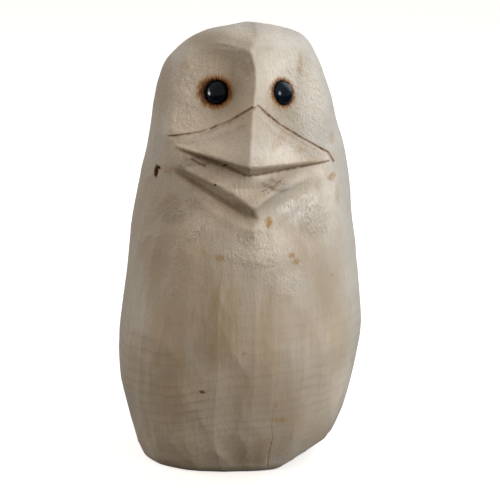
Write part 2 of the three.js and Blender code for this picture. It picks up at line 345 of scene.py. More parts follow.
def crown_top(x, y, z):
    """How far a place is above the crown, a low dome that was pared down with short flat cuts."""
    dome = z - CROWN["z"] + ((x - CROWN["x"]) ** 2 + (y - CROWN["y"]) ** 2) / (2 * CROWN["radius"])
    for across, along, depth in CROWN_FLATS:
        u, v = (across - CROWN["x"]) / CROWN["radius"], (along - CROWN["y"]) / CROWN["radius"]
        height = CROWN["z"] - (u * u + v * v) * CROWN["radius"] / 2 - depth
        above = z - height + u * (x - across) + v * (y - along)
        dome = np.maximum(dome, above / math.sqrt(1 + u * u + v * v))
    return dome


def carving(x, y, z):
    """How far a place is outside the finished carving: below 0 it is in the wood."""
    wood = rounded_max(billet(x, y, z), crown_top(x, y, z), ROUNDING["crown"])
    wood = rounded_max(wood, -z, ROUNDING["foot"])
    wood = rounded_max(wood, underside_bevel(x, y, z), ROUNDING["bevel"])
    for cut in brow_cuts:
        wood = rounded_max(wood, cut(x, y, z), ROUNDING["brow"])
    above = above_root(x, z)
    left, right = dish(x, y, z), face_right(x, y, z)
    soft_cheek = np.interp(x, [8, 20], [ROUNDING["face"], ROUNDING["right_cheek"]])
    wood = rounded_max(wood, -np.maximum(left, -above), ROUNDING["face"])
    wood = rounded_max(wood, -np.maximum(right, -above), soft_cheek)
    kept = np.minimum(above, np.minimum(left, right) + KEPT_STEP)
    for beak_side in beak_sides:
        wood = rounded_max(wood, -np.maximum(beak_side(x, y, z), kept), ROUNDING["beak"])
    soft_jaw = np.interp(z, [97, 102], [JAW_ROUND, ROUNDING["mouth"]])
    mouth = rounded_max(*(-cut(x, y, z) for cut in mouth_cuts), soft_jaw)
    wood = rounded_max(wood, mouth, ROUNDING["mouth"])
    throat = rounded_max(*(-cut(x, y, z) for cut in throat_cuts), ROUNDING["throat"])
    below = np.clip((throat_line(x) - z) / 9, 0, 1)
    below = below * below * (3 - 2 * below) * np.interp(np.abs(x), [16, 24], [1, 0.35])
    soft = ROUNDING["throat_edge"] + (CHEST_ROUND - ROUNDING["throat_edge"]) * below
    wood = rounded_max(wood, throat, soft)
    for tool in sockets:
        wood = rounded_max(wood, -tool(x, y, z), ROUNDING["socket"])
    return wood + scored(x, y, z)


def steepness(places, step=0.03):
    """The carving's distance at each place and the direction in which it grows."""
    x, y, z = places.T
    here = carving(x, y, z)
    grown = [carving(x + step, y, z), carving(x, y + step, z), carving(x, y, z + step)]
    return here, np.stack([g - here for g in grown], axis=1) / step


def settle(places, rounds=3, furthest=0.8):
    """Moves places on to the carved surface."""
    for _ in range(rounds):
        here, slope = steepness(places)
        move = -slope * (here / np.maximum(np.sum(slope * slope, axis=1), 1e-3))[:, None]
        far = np.linalg.norm(move, axis=1, keepdims=True)
        places = places + move * np.minimum(1, furthest / np.maximum(far, 1e-9))
    return places


def skin(distance, low, high, cell):
    """Points and four-sided faces of the surface where distance is 0: one point in each cell it crosses."""
    counts = np.ceil((np.array(high) - low) / cell).astype(int) + 3
    start = np.array(low) - cell
    x, y, z = (start[i] + cell * np.arange(counts[i]).reshape([-1 if a == i else 1 for a in range(3)])
               for i in range(3))
    values = distance(x + 0 * y + 0 * z, y + 0 * x + 0 * z, z + 0 * x + 0 * y)
    size = int(np.prod(counts))
    total, hits, quads = np.zeros((size, 3)), np.zeros(size), []
    for axis in range(3):
        near = values.take(range(counts[axis] - 1), axis)
        far = values.take(range(1, counts[axis]), axis)
        edges = np.argwhere((near < 0) != (far < 0))
        at = tuple(edges.T)
        crossing = edges.astype(float)
        crossing[:, axis] += near[at] / (near[at] - far[at])
        u, v = np.eye(3, dtype=int)[[(axis + 1) % 3, (axis + 2) % 3]]
        ring = [np.ravel_multi_index(tuple((edges - back).T), counts) for back in (u + v, v, 0 * u, u)]
        for cell_index in ring:
            hits += np.bincount(cell_index, minlength=size)
            for i in range(3):
                total[:, i] += np.bincount(cell_index, crossing[:, i], minlength=size)
        ring = np.stack(ring, axis=1)
        quads.append(np.where((near[at] < 0)[:, None], ring, ring[:, ::-1]))
    used = np.flatnonzero(hits)
    number = np.zeros(size, int)
    number[used] = np.arange(len(used))
    return start + cell * total[used] / hits[used, None], number[np.vstack(quads)]


def places_of(bm):
    """All the mesh's points, in order."""
    return np.array([v.co[:] for v in bm.verts])


def put(bm, places):
    """Moves all the mesh's points, in the same order."""
    for v, place in zip(bm.verts, places):
        v.co = place


def even_out(bm, times):
    """Spreads the points evenly over the carved surface."""
    for _ in range(times):
        bmesh.ops.smooth_vert(
            bm, verts=bm.verts, factor=0.5, use_axis_x=True, use_axis_y=True, use_axis_z=True)
        put(bm, settle(places_of(bm), rounds=2))


def refine(bm, chosen):
    """Cuts each chosen face in four, and settles the new points."""
    edges = {edge for face in bm.faces if chosen(face) for edge in face.edges}
    bmesh.ops.subdivide_edges(bm, edges=list(edges), cuts=1, use_grid_fill=True)
    put(bm, settle(places_of(bm), rounds=2))


def bends(bm, degrees):
    """The faces across which the carved surface turns by more than so many degrees."""
    slope = steepness(places_of(bm))[1]
    slope /= np.maximum(np.linalg.norm(slope, axis=1, keepdims=True), 1e-9)
    bm.verts.index_update()
    least = math.cos(math.radians(degrees))

    def chosen(face):
        corners = slope[[v.index for v in face.verts]]
        return (corners @ corners.T).min() < least

    return chosen


def near_score(place):
    """Whether a place is on a scored line or just beside one."""
    near = (from_line(place.x, place.z, line) < 0.8 * wide for wide, deep, *line in SCORES)
    return place.y < -8 and any(near)


CELL = 1.5
REACH = 3.0
SHARP_TURN = 9.0
DEEPEST_SCORE = 0.4
low, high = (np.array(corner) / MM for corner in cad_box)
places, faces = skin(carving, low - REACH, high + REACH, CELL)
body_mesh = bpy.data.meshes.new("carved_body")
body_mesh.from_pydata(settle(places).tolist(), [], faces.tolist())
bm = bmesh.new()
bm.from_mesh(body_mesh)
even_out(bm, 2)
refine(bm, lambda face: face.calc_center_median().y < -4)
even_out(bm, 1)
refine(bm, bends(bm, SHARP_TURN))
even_out(bm, 2)
refine(bm, lambda face: near_score(face.calc_center_median()))
bmesh.ops.triangulate(bm, faces=[face for face in bm.faces if len(face.verts) > 4])

# What the paint needs to know of each point: how deep in a cut it lies, how near a sharp edge it is, how
# far it is from both, and how deep a scored line is there
places = places_of(bm)
outward = steepness(places)[1]
outward /= np.maximum(np.linalg.norm(outward, axis=1, keepdims=True), 1e-9)


def gap(away):
    """How much nearer the wood is than it would be over a flat surface, so far off the surface."""
    return np.clip(1 - carving(*(places + outward * away).T) / away, 0, 1)


crease = (gap(0.5) + gap(1.2) + gap(3.0)) / 3
score = scored(*places.T) / DEEPEST_SCORE
edge = gap(-0.9)
open_wood = np.clip(1.15 - 4 * gap(2.0) - 4 * gap(-2.0), 0, 1)
open_wood *= np.interp(places[:, 2], [1.0, 4.0], [0, 1])
put(bm, places * MM)
bm.to_mesh(body_mesh)
bm.free()
for name, value in (("crease", crease), ("edge", edge), ("open_wood", open_wood), ("score", score)):
    body_mesh.attributes.new(name, "FLOAT", "POINT").data.foreach_set("value", value)


class Tree:
    """Nodes, where an input is linked if it is another node's output, and set if it is not."""

    def __init__(self, tree):
        self.tree = tree

    def node(self, kind, inputs, output=0, **settings):
        made = self.tree.nodes.new(kind)
        for setting, value in settings.items():
            setattr(made, setting, value)
        self.put(made, inputs)
        return made.outputs[output]

    def put(self, made, inputs):
        for key, value in inputs.items():
            if isinstance(value, bpy.types.NodeSocket):
                self.tree.links.new(value, made.inputs[key])
            else:
                made.inputs[key].default_value = value

    def math(self, operation, a, b=0.0):
        return self.node("ShaderNodeMath", {0: a, 1: b}, operation=operation)

    def vector(self, operation, a, b=(0, 0, 0), output=0):
        return self.node("ShaderNodeVectorMath", {0: a, 1: b}, output, operation=operation)

    def times(self, a, factor):
        return self.node("ShaderNodeVectorMath", {0: a, "Scale": factor}, operation="SCALE")


class Growing(Tree):
    """A geometry-nodes tree with named inputs that ends in real geometry with its material."""

    def __init__(self, name, **inputs):
        super().__init__(bpy.data.node_groups.new(name, "GeometryNodeTree"))
        self.tree.interface.new_socket("Geometry", in_out="OUTPUT", socket_type="NodeSocketGeometry")
        for socket, kind in {"Geometry": "Geometry", **inputs, "Finish": "Material"}.items():
            self.tree.interface.new_socket(socket.replace("_", " "), socket_type="NodeSocket" + kind)
        self.given = self.tree.nodes.new("NodeGroupInput").outputs

    def end(self, geometry):
        real = self.node("GeometryNodeRealizeInstances", {0: geometry})
        smooth = self.node("GeometryNodeSetShadeSmooth", {0: real})
        done = self.node("GeometryNodeSetMaterial", {"Geometry": smooth, "Material": self.given["Finish"]})
        self.put(self.tree.nodes.new("NodeGroupOutput"), {0: done})

    def grow(self, name, mesh, **values):
        """Runs the tree on a mesh and returns an object that holds the plain result."""
        obj = bpy.data.objects.new(name, mesh)
        bpy.context.scene.collection.objects.link(obj)
        modifier = obj.modifiers.new(name, "NODES")
        modifier.node_group = self.tree
        for item in self.tree.interface.items_tree:
            if item.name.replace(" ", "_") in values:
                modifier[item.identifier] = values[item.name.replace(" ", "_")]
        ready = obj.evaluated_get(bpy.context.evaluated_depsgraph_get())
        obj.data = bpy.data.meshes.new_from_object(ready)
        obj.modifiers.remove(modifier)
        obj.data.name = name
        return obj


def paring():
    """Small flats left by the knife's short last cuts: one for each cell, hollowed a little, and ridged
    where it meets the next. Raised grain runs up them."""
    g = Growing(
        "pared surface", Cut_width="Float", Cut_length="Float", Depth="Float", Grain="Float", Seed="Int")
    position = g.node("GeometryNodeInputPosition", {})
    offset = g.math("MULTIPLY", g.given["Seed"], 0.37)
    offset = g.node("ShaderNodeCombineXYZ", {0: offset, 2: g.given["Seed"]})
    stray = g.node("ShaderNodeTexNoise", {"Vector": position, "Scale": 60.0, "Detail": 1.0}, "Color")
    strayed = g.vector("ADD", position, g.times(g.vector("SUBTRACT", stray, (0.5, 0.5, 0.5)), 0.012))
    wide, long = g.given["Cut width"], g.given["Cut length"]
    size = g.node("ShaderNodeCombineXYZ", {0: wide, 1: wide, 2: long})
    cell = g.node("ShaderNodeTexVoronoi", {
        "Vector": g.vector("ADD", g.vector("DIVIDE", strayed, size), offset), "Scale": 1.0}, "Distance")
    hollow = g.math("SUBTRACT", 0.7, g.math("MULTIPLY", cell, cell))
    grain_place = g.vector("MULTIPLY", position, (700, 700, 70))
    grain = g.node("ShaderNodeTexNoise", {"Vector": grain_place, "Scale": 1.0, "Detail": 2.0}, "Fac")
    rise = g.math("MULTIPLY", g.math("SUBTRACT", grain, 0.5), g.given["Grain"])
    open_here = g.node("GeometryNodeInputNamedAttribute", {"Name": "open_wood"}, data_type="FLOAT")
    push = g.math("SUBTRACT", rise, g.math("MULTIPLY", hollow, g.given["Depth"]))
    push = g.math("MULTIPLY", push, open_here)
    moved = g.node("GeometryNodeSetPosition", {
        "Geometry": g.given["Geometry"], "Offset": g.times(g.node("GeometryNodeInputNormal", {}), push)})
    g.end(moved)
    return g


class Shading(Tree):
    """A material's nodes."""

    def __init__(self, name):
        self.material = bpy.data.materials.new(name)
        self.material.use_nodes = True
        super().__init__(self.material.node_tree)
        self.surface = self.tree.nodes["Principled BSDF"]

    def scaled(self, place, scale, shift=(0, 0, 0)):
        return self.node("ShaderNodeMapping", {"Vector": place, "Scale": scale, "Location": shift})

    def noise(self, place, scale, detail=2.0, rough=0.5):
        """Cloudy grey from 0 to 1; scale is how many clouds there are in a millimetre each way."""
        inputs = {"Vector": self.scaled(place, scale), "Scale": 1.0, "Detail": detail, "Roughness": rough}
        return self.node("ShaderNodeTexNoise", inputs)

    def ramp(self, value, low, high, to_low=0.0, to_high=1.0):
        """Takes value from low..high to to_low..to_high, with soft ends."""
        inputs = {"Value": value, "From Min": low, "From Max": high, "To Min": to_low, "To Max": to_high}
        return self.node("ShaderNodeMapRange", inputs, interpolation_type="SMOOTHSTEP")

    def mix(self, share, a, b, blend="MIX"):
        return self.node("ShaderNodeMix", {0: share, 6: a, 7: b}, 2, data_type="RGBA", blend_type=blend)

    def bump(self, height, scale, strength=1.0):
        """Makes height, times scale in metres, show as relief."""
        inputs = {"Height": self.math("MULTIPLY", height, scale), "Strength": strength, "Distance": 1.0}
        return self.node("ShaderNodeBump", inputs)

    def most(self, values):
        return reduce(lambda a, b: self.math("MAXIMUM", a, b), values)


FRESH = (0.655, 0.618, 0.545, 1)
PAINTED_LIGHT_TONE = (0.88, 0.825, 0.72, 1)
OCHRE = (0.52, 0.415, 0.27, 1)
GREY = (0.545, 0.535, 0.50, 1)
LATE_WOOD = (0.43, 0.345, 0.235, 1)
SHADOW_BROWN = (0.13, 0.07, 0.035, 1)
PAINTED_SHADE_TONE = (0.40, 0.34, 0.255, 1)
CUT_STAIN_AND_SHADE = (0.33, 0.185, 0.09, 1)
RUST = (0.43, 0.26, 0.09, 1)
KNOT = (0.075, 0.028, 0.011, 1)
CHAR = (0.010, 0.008, 0.010, 1)
BURNT = (0.11, 0.03, 0.010, 1)
TOAST = (0.34, 0.135, 0.024, 1)
TOASTED = (0.50, 0.32, 0.13, 1)
PITH = (3.0, 5.0)
RING_GAP = 2.4
PITH_LEAN = 0.26
# Marks seen from the front: across, height, half width, half height, lean in degrees, strength
RUST_MARKS = [
    [18.2, 132.7, 1.0, 3.2, 4, 0.55], [0.0, 132.2, 1.0, 1.3, 0, 0.5], [-19.0, 132.8, 1.0, 1.4, 0, 0.4],
    [-25.3, 100.0, 1.6, 1.4, 0, 0.5], [5.7, 85.9, 1.2, 1.6, -10, 1.0], [17.2, 107.5, 2.2, 1.5, 0, 0.35],
    [9.4, 110.7, 3.2, 1.3, -35, 0.35], [28.8, 108.4, 1.0, 1.9, 0, 0.45], [28.0, 96.7, 1.5, 1.2, 0, 0.75],
    [30.2, 90.3, 1.0, 3.2, 0, 0.35], [-23.5, 90.6, 2.6, 2.4, 0, 0.3], [-9.9, 74.7, 1.5, 0.9, 0, 0.75],
    [13.2, 74.8, 1.0, 1.0, 0, 0.75], [14.6, 73.0, 1.1, 1.3, 30, 0.85], [26.8, 66.0, 0.7, 0.5, 0, 0.6],
    [-2.5, 44.4, 0.6, 0.6, 0, 0.75], [-14.4, 37.2, 0.6, 0.8, 0, 0.3], [9.3, 20.6, 2.2, 1.0, 0, 0.6],
    [7.8, 26.2, 0.5, 1.0, 0, 0.5], [-6.3, 95.0, 1.6, 0.7, -20, 0.5], [11.0, 113.8, 1.6, 0.6, -30, 0.35],
]
KNOT_MARKS = [
    [-28.2, 98.4, 0.5, 2.0, 8, 1.0], [-27.4, 99.9, 0.55, 0.5, 0, 1.0], [-15.7, 31.0, 0.9, 0.6, 0, 0.75],
    [-10.8, 97.5, 0.4, 0.4, 0, 0.9], [-7.8, 104.0, 0.9, 0.4, -20, 0.95],
]
RING_MARKS = [
    [6.0, 30.0, 22.0, 13.0, 0, 1.0], [-14.0, 24.0, 12.0, 7.0, 15, 0.7],
]
# Painted shadow under the left lip and along the left throat band
PAINTED_SHADOW_MARKS = [
    [-11.5, 104.6, 9.5, 1.0, 16, 1.0], [-12.0, 94.2, 11.0, 0.8, 29, 0.6],
]
OCHRE_MARKS = [
    [-10.0, 55.0, 9.0, 17.0, 0, 0.9], [3.0, 52.0, 6.0, 12.0, 0, 0.5], [-8.0, 131.0, 10.0, 8.0, 0, 0.5],
    [-12.0, 122.0, 14.0, 8.0, 15, 0.35], [14.0, 122.0, 13.0, 9.0, 0, 0.35],
    [-10.0, 99.0, 12.0, 6.0, -20, 0.5], [12.0, 103.2, 16.0, 1.6, 0, 0.9],
    [-12.0, 105.8, 13.0, 1.6, 15, 0.7], [-10.0, 93.8, 15.0, 2.2, 28, 1.0],
    [6.0, 82.0, 9.0, 7.0, 0, 0.3], [-14.0, 88.0, 9.0, 6.0, -25, 0.4], [-6.0, 10.0, 18.0, 8.0, 0, 0.4],
    [19.5, 124.0, 3.0, 9.0, 0, 0.35],
]
POLISHED_MARKS = [
    [12.0, 90.5, 7.0, 3.0, 25, 1.0], [18.5, 89.0, 7.0, 4.5, -15, 1.0], [24.0, 84.0, 4.0, 5.0, -30, 1.0],
    [16.5, 64.0, 8.0, 4.5, 20, 0.9], [3.0, 78.0, 7.0, 4.0, 0, 0.4], [0.0, 120.0, 3.0, 4.0, 0, 0.4],
    [12.0, 133.0, 8.0, 8.0, 0, 0.35], [20.0, 116.0, 8.0, 10.0, 0, 0.35], [20.0, 58.0, 6.0, 8.0, 0, 0.3],
]
# Paler patches where the surface should look more brightly lit: painted light
PAINTED_LIGHT_MARKS = [
    [-18.0, 115.0, 9.0, 7.0, 0, 1.4], [-15.5, 127.0, 6.0, 10.0, 0, 1.3], [-5.0, 97.5, 10.0, 5.0, -20, 1.1],
    [3.0, 79.0, 9.0, 8.0, 0, 1.1], [12.0, 131.0, 9.0, 9.0, 0, 1.2], [-19.0, 107.5, 5.0, 3.0, 0, 1.1],
    [-10.0, 132.5, 7.0, 4.0, 0, 1.0], [-14.0, 86.0, 8.0, 4.0, -30, 0.8], [-22.0, 9.0, 15.0, 12.0, 0, 1.2],
    [-1.5, 143.0, 4.6, 2.0, 0, 0.6], [9.0, 142.8, 5.0, 1.9, 0, 0.6], [-13.0, 110.0, 8.0, 3.0, 15, 1.0],
    [32.0, 24.0, 7.0, 12.0, 0, 0.7], [26.0, 92.0, 5.0, 12.0, 0, 0.9], [-12.0, 20.0, 10.0, 10.0, 0, 0.5],
    [10.0, 106.5, 9.0, 4.0, 0, 0.9], [22.0, 118.0, 6.0, 8.0, 0, 0.8], [-19.0, 113.5, 5.0, 5.0, 0, 1.4],
    [-16.0, 28.0, 10.0, 12.0, 0, 0.5], [21.5, 125.0, 5.0, 9.0, 0, 1.1],
]
# Darker patches where the surface should lie in shade, such as the left flank, the lower belly, the brow
# band and the jaw under the lip: painted shade
PAINTED_SHADE_MARKS = [
    [15.0, 88.0, 9.0, 6.0, 0, 0.45], [5.0, 71.0, 9.0, 6.0, 0, 0.35], [28.0, 70.0, 6.0, 9.0, 0, 0.4],
    [-25.8, 127.0, 2.8, 13.0, 6, 0.9],
    [5.0, 31.0, 19.0, 16.0, 0, 0.7], [-11.0, 48.0, 8.0, 13.0, 0, 0.55], [9.5, 98.6, 9.0, 2.8, -20, 1.3],
    [24.0, 66.0, 8.0, 14.0, 0, 0.6], [-13.0, 140.5, 6.0, 3.0, 0, 1.0], [14.0, 116.0, 7.0, 3.0, 30, 0.4],
    [-29.0, 80.0, 7.0, 20.0, 0, 1.0], [3.6, 143.6, 0.7, 2.2, 15, 0.9], [-3.0, 123.0, 4.0, 8.0, 0, 0.5],
]
TORN_MARKS = [
    [-21.0, 89.5, 8.0, 4.0, -35, 1.0], [-17.0, 83.0, 7.0, 2.5, -40, 0.8], [21.5, 84.5, 5.0, 5.0, 40, 1.0],
    [2.5, 80.5, 7.0, 3.5, 10, 0.9], [2.0, 74.5, 10.0, 3.0, 5, 0.9], [-15.0, 104.5, 7.0, 1.2, -16, 0.9],
    [20.0, 112.0, 8.0, 8.0, 0, 0.9], [-17.0, 130.0, 5.0, 5.0, 0, 0.6], [8.0, 97.5, 6.0, 1.6, 20, 0.7],
    [0.0, 106.0, 5.0, 1.8, 0, 0.5], [9.0, 68.0, 8.0, 8.0, 0, 0.5], [-16.0, 119.0, 9.0, 12.0, 0, 0.45],
    [16.0, 124.0, 10.0, 11.0, 0, 0.8],
]


def marked(s, place, marks, soft=0.55):
    """How strongly the nearest of the marks shows: each is an oval on the front, fading from its middle."""
    front = s.ramp(s.node("ShaderNodeSeparateXYZ", {"Vector": place}, 1), -2, 8, 1.0, 0.0)
    shown = []
    for across, height, half_width, half_height, lean, strength in marks:
        inside = s.node("ShaderNodeMapping", {
            "Vector": place, "Location": (across, 0, height), "Rotation": (0, math.radians(lean), 0),
            "Scale": (half_width * 1.5, 200, half_height * 1.5)}, vector_type="TEXTURE")
        oval = s.node("ShaderNodeTexGradient", {"Vector": inside}, 1, gradient_type="SPHERICAL")
        shown.append(s.math("MULTIPLY", s.ramp(oval, 0.05, soft), strength))
    return s.math("MULTIPLY", s.most(shown), front)


def paint_wood():
    s = Shading("pale_wood")
    place = s.times(s.node("ShaderNodeTexCoord", {}, "Object"), 1 / MM)
    inputs = {"Vector": place, "Scale": 0.6, "Detail": 6.0, "Roughness": 0.8}
    drift = s.node("ShaderNodeTexNoise", inputs, "Color")
    drift = s.vector("SUBTRACT", drift, (0.5, 0.5, 0.5))
    ragged = s.vector("ADD", place, s.times(drift, 4.0))
    depth = s.node("ShaderNodeSeparateXYZ", {"Vector": place}, 1)
    height = s.node("ShaderNodeSeparateXYZ", {"Vector": place}, 2)

    clouds = s.noise(place, (0.06, 0.06, 0.035), 4.0)
    patches = s.noise(place, (0.16, 0.16, 0.12), 3.0)
    fibre = s.noise(place, (1.5, 1.5, 0.10), 4.0, 0.65)
    streak = s.noise(place, (0.9, 0.9, 0.04), 3.0)
    pores = s.noise(place, (1.6, 1.6, 1.1), 4.0, 0.7)

    # Year rings round a pith that leans back: they come out on the belly as faint, nearly level lines
    waver = s.noise(place, (0.035, 0.035, 0.02), 2.0)
    from_pith = s.vector("LENGTH", s.scaled(place, (1, 0.9, 0), (-PITH[0], -PITH[1], 0)), output=1)
    leaning = s.math("ADD", s.math("DIVIDE", from_pith, RING_GAP), s.math("MULTIPLY", height, PITH_LEAN))
    ring = s.math("ADD", leaning, s.math("MULTIPLY", waver, 1.6))
    ring = s.math("FRACT", s.math("ADD", ring, s.math("MULTIPLY", fibre, 0.08)))
    ring_line = s.math("MULTIPLY", s.ramp(ring, 0.45, 0.90), s.ramp(ring, 1.0, 0.93))
    shown = s.ramp(s.noise(place, (0.05, 0.05, 0.09), 2.0), 0.40, 0.58, 0.3, 1.0)
    ring_line = s.math("MULTIPLY", ring_line, shown)
    clearest = s.ramp(marked(s, place, RING_MARKS, 0.8), 0.0, 1.0, 0.45, 1.0)
    ring_line = s.math("MULTIPLY", ring_line, clearest)
    ring_line = s.math("MULTIPLY", ring_line, s.ramp(height, 42, 60, 1.0, 0.35))
    ring_line = s.math("MULTIPLY", ring_line, s.ramp(height, 8, 26, 0.4, 1.0))

    colour = s.mix(s.ramp(clouds, 0.4, 0.7, 0.0, 0.6), FRESH, OCHRE)
    colour = s.mix(s.math("MULTIPLY", s.ramp(patches, 0.5, 0.75), 0.5), colour, GREY)
    colour = s.mix(s.ramp(depth, -28, -5, 0.0, 0.85), colour, GREY)
    ochre = s.math("MULTIPLY", marked(s, ragged, OCHRE_MARKS, 0.8), s.ramp(streak, 0.3, 0.6, 0.35, 1.0))
    colour = s.mix(ochre, colour, OCHRE)
    # Painted light: paler colour where the surface should catch more light
    colour = s.mix(s.math("MULTIPLY", marked(s, ragged, PAINTED_LIGHT_MARKS, 0.8), 0.7), colour, PAINTED_LIGHT_TONE)
    # Painted shade: darker colour where the surface should lie in shade
    colour = s.mix(s.math("MULTIPLY", marked(s, ragged, PAINTED_SHADE_MARKS, 0.8), 0.7), colour, PAINTED_SHADE_TONE)
    colour = s.mix(s.math("MULTIPLY", ring_line, 0.55), colour, LATE_WOOD)
    colour = s.mix(s.ramp(fibre, 0.45, 0.75, 0.0, 0.3), colour, OCHRE)
    colour = s.mix(s.ramp(streak, 0.5, 0.75, 0.0, 0.2), colour, LATE_WOOD)
    colour = s.mix(s.ramp(pores, 0.6, 0.8, 0.0, 0.3), colour, LATE_WOOD)

    # Old marks in the wood, and painted shadow under the left lip and along the left throat band
    broken = s.ramp(s.noise(place, (1.1, 1.1, 0.7), 3.0), 0.3, 0.6, 0.35, 1.0)
    colour = s.mix(s.math("MULTIPLY", marked(s, ragged, RUST_MARKS), broken), colour, RUST)
    less_ragged = s.vector("ADD", place, s.times(drift, 1.6))
    knots = marked(s, less_ragged, KNOT_MARKS)
    colour = s.mix(knots, colour, KNOT)
    colour = s.mix(s.math("MULTIPLY", marked(s, less_ragged, PAINTED_SHADOW_MARKS), 0.6), colour, SHADOW_BROWN)

    # Painted shade in the creases and cuts, darker the deeper they lie, and edges that handling has rubbed
    # pale
    crease = s.node("ShaderNodeAttribute", {}, "Fac", attribute_name="crease")
    edge = s.node("ShaderNodeAttribute", {}, "Fac", attribute_name="edge")
    patchy = s.ramp(s.noise(place, (0.6, 0.6, 0.6), 3.0), 0.3, 0.65, 0.45, 1.0)
    crease_shade = s.math("MULTIPLY", s.ramp(crease, 0.08, 0.42, 0.0, 0.5), patchy)
    deep_crease_shade = s.math("MULTIPLY", s.ramp(crease, 0.25, 0.65, 0.0, 0.75), patchy)
    colour = s.mix(crease_shade, colour, LATE_WOOD)
    colour = s.mix(deep_crease_shade, colour, SHADOW_BROWN)
    colour = s.mix(s.ramp(edge, 0.1, 0.4, 0.0, 0.35), colour, FRESH)
    # Scored lines painted brown, partly stain in the cut and partly painted shade, with darker dashes of
    # painted shade; the wide one under the left lip is painted shadow
    score = s.node("ShaderNodeAttribute", {}, "Fac", attribute_name="score")
    cut_line_patches = s.noise(place, (0.35, 0.35, 0.35), 4.0, 0.75)
    score_stain_and_shade = s.ramp(score, 0.05, 0.75)
    colour = s.mix(s.math("MULTIPLY", score_stain_and_shade, s.ramp(cut_line_patches, 0.35, 0.6, 0.2, 0.75)), colour, CUT_STAIN_AND_SHADE)
    colour = s.mix(s.math("MULTIPLY", score_stain_and_shade, s.ramp(cut_line_patches, 0.53, 0.62, 0.0, 0.9)), colour, SHADOW_BROWN)

    # Scorched rings round the beads, ragged along the fibres, on the front only
    ticks = s.noise(place, (2.2, 2.2, 0.35), 3.0)
    char, scorched = [], []
    for eye in EYES.values():
        axis = gaze(eye)
        sideways = np.cross([0, 0, 1.0], axis)
        sideways /= np.linalg.norm(sideways)
        upward = np.cross(axis, sideways)
        from_eye = s.vector("SUBTRACT", place, eye["at"])
        u = s.vector("DOT_PRODUCT", from_eye, tuple(sideways), 1)
        v = s.vector("DOT_PRODUCT", from_eye, tuple(upward), 1)
        flat_place = s.node("ShaderNodeCombineXYZ", {0: s.math("MULTIPLY", u, eye["squash"]), 1: v})
        away = s.vector("LENGTH", flat_place, output=1)
        stray = s.math("MULTIPLY", s.math("SUBTRACT", ticks, 0.5), 2.8)
        even = s.vector("LENGTH", s.node("ShaderNodeCombineXYZ", {0: u, 1: v}), output=1)
        char.append(s.ramp(s.math("ADD", even, stray), BEAD_RADIUS + 0.6, BEAD_RADIUS + 0.1))
        away = s.math("SUBTRACT", s.math("ADD", away, stray), BEAD_RADIUS)
        scorched.append(s.math("DIVIDE", away, eye["scorch"]))
    scorched = reduce(lambda a, b: s.math("MINIMUM", a, b), scorched)
    scorched = s.math("ADD", scorched, s.ramp(depth, -6, 3, 0.0, 9.0))
    char = s.math("MULTIPLY", s.most(char), s.ramp(depth, -6, 3, 1.0, 0.0))
    colour = s.mix(s.ramp(scorched, 2.7, 1.4, 0.0, 0.8), colour, TOASTED)
    colour = s.mix(s.ramp(scorched, 2.1, 0.8, 0.0, 0.9), colour, TOAST)
    colour = s.mix(s.ramp(scorched, 1.3, 0.4, 0.0, 0.85), colour, BURNT)
    colour = s.mix(char, colour, CHAR)

    # A thin wax polish that has caught on some patches, broken up by the grain
    polish = marked(s, ragged, POLISHED_MARKS, 0.7)
    grain = s.noise(place, (1.3, 1.3, 0.5), 4.0, 0.8)
    polish = s.math("MULTIPLY", polish, s.ramp(grain, 0.60, 0.46))
    rough = s.math("ADD", 0.5, s.math("MULTIPLY", s.math("SUBTRACT", clouds, 0.5), 0.2))
    rough = s.math("SUBTRACT", rough, s.math("MULTIPLY", polish, 0.15))
    torn = marked(s, ragged, TORN_MARKS, 0.8)
    coarse = s.math("ADD", s.ramp(height, 50, 95, 0.35, 1.0), s.ramp(height, 106, 116, 0.0, 0.5))
    tear = s.math("MULTIPLY", s.noise(place, (0.9, 0.9, 0.7), 4.0, 0.7), s.ramp(torn, 0.0, 1.0, 0.25, 1.0))
    relief = s.math("ADD", s.math("MULTIPLY", fibre, 0.22), s.math("MULTIPLY", ring_line, -0.08))
    relief = s.math("ADD", relief, tear)
    relief = s.math("ADD", relief, s.math("MULTIPLY", pores, 0.16))
    relief = s.math("MULTIPLY", relief, coarse)
    bump = s.bump(relief, MM)
    waxed = s.bump(relief, 0.22 * MM)
    shine = s.math("MULTIPLY", s.math("SUBTRACT", 1.0, knots), 0.45)
    s.put(s.surface, {"Base Color": colour, "Roughness": rough, "Normal": bump, "Specular IOR Level": shine,
                      "Coat Weight": polish, "Coat Roughness": 0.2, "Coat IOR": 1.65, "Coat Normal": waxed})
    return s.material


carved_body = paring().grow(
    "carved_body", body_mesh, Cut_width=9 * MM, Cut_length=20 * MM, Depth=0.6 * MM, Grain=0.12 * MM, Seed=4,
    Finish=paint_wood())
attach(carved_body, "root")
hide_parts("body")


# The eyes
# Two round, glossy black beads of plastic or glass on short shanks, let into sockets that were burnt out
# with a hot iron. Only the dome of each stands proud of the wood.
BEAD_BLACK = (0.001, 0.003, 0.006, 1)
DOME_HEIGHT = 2.1
SHANK = 1.7


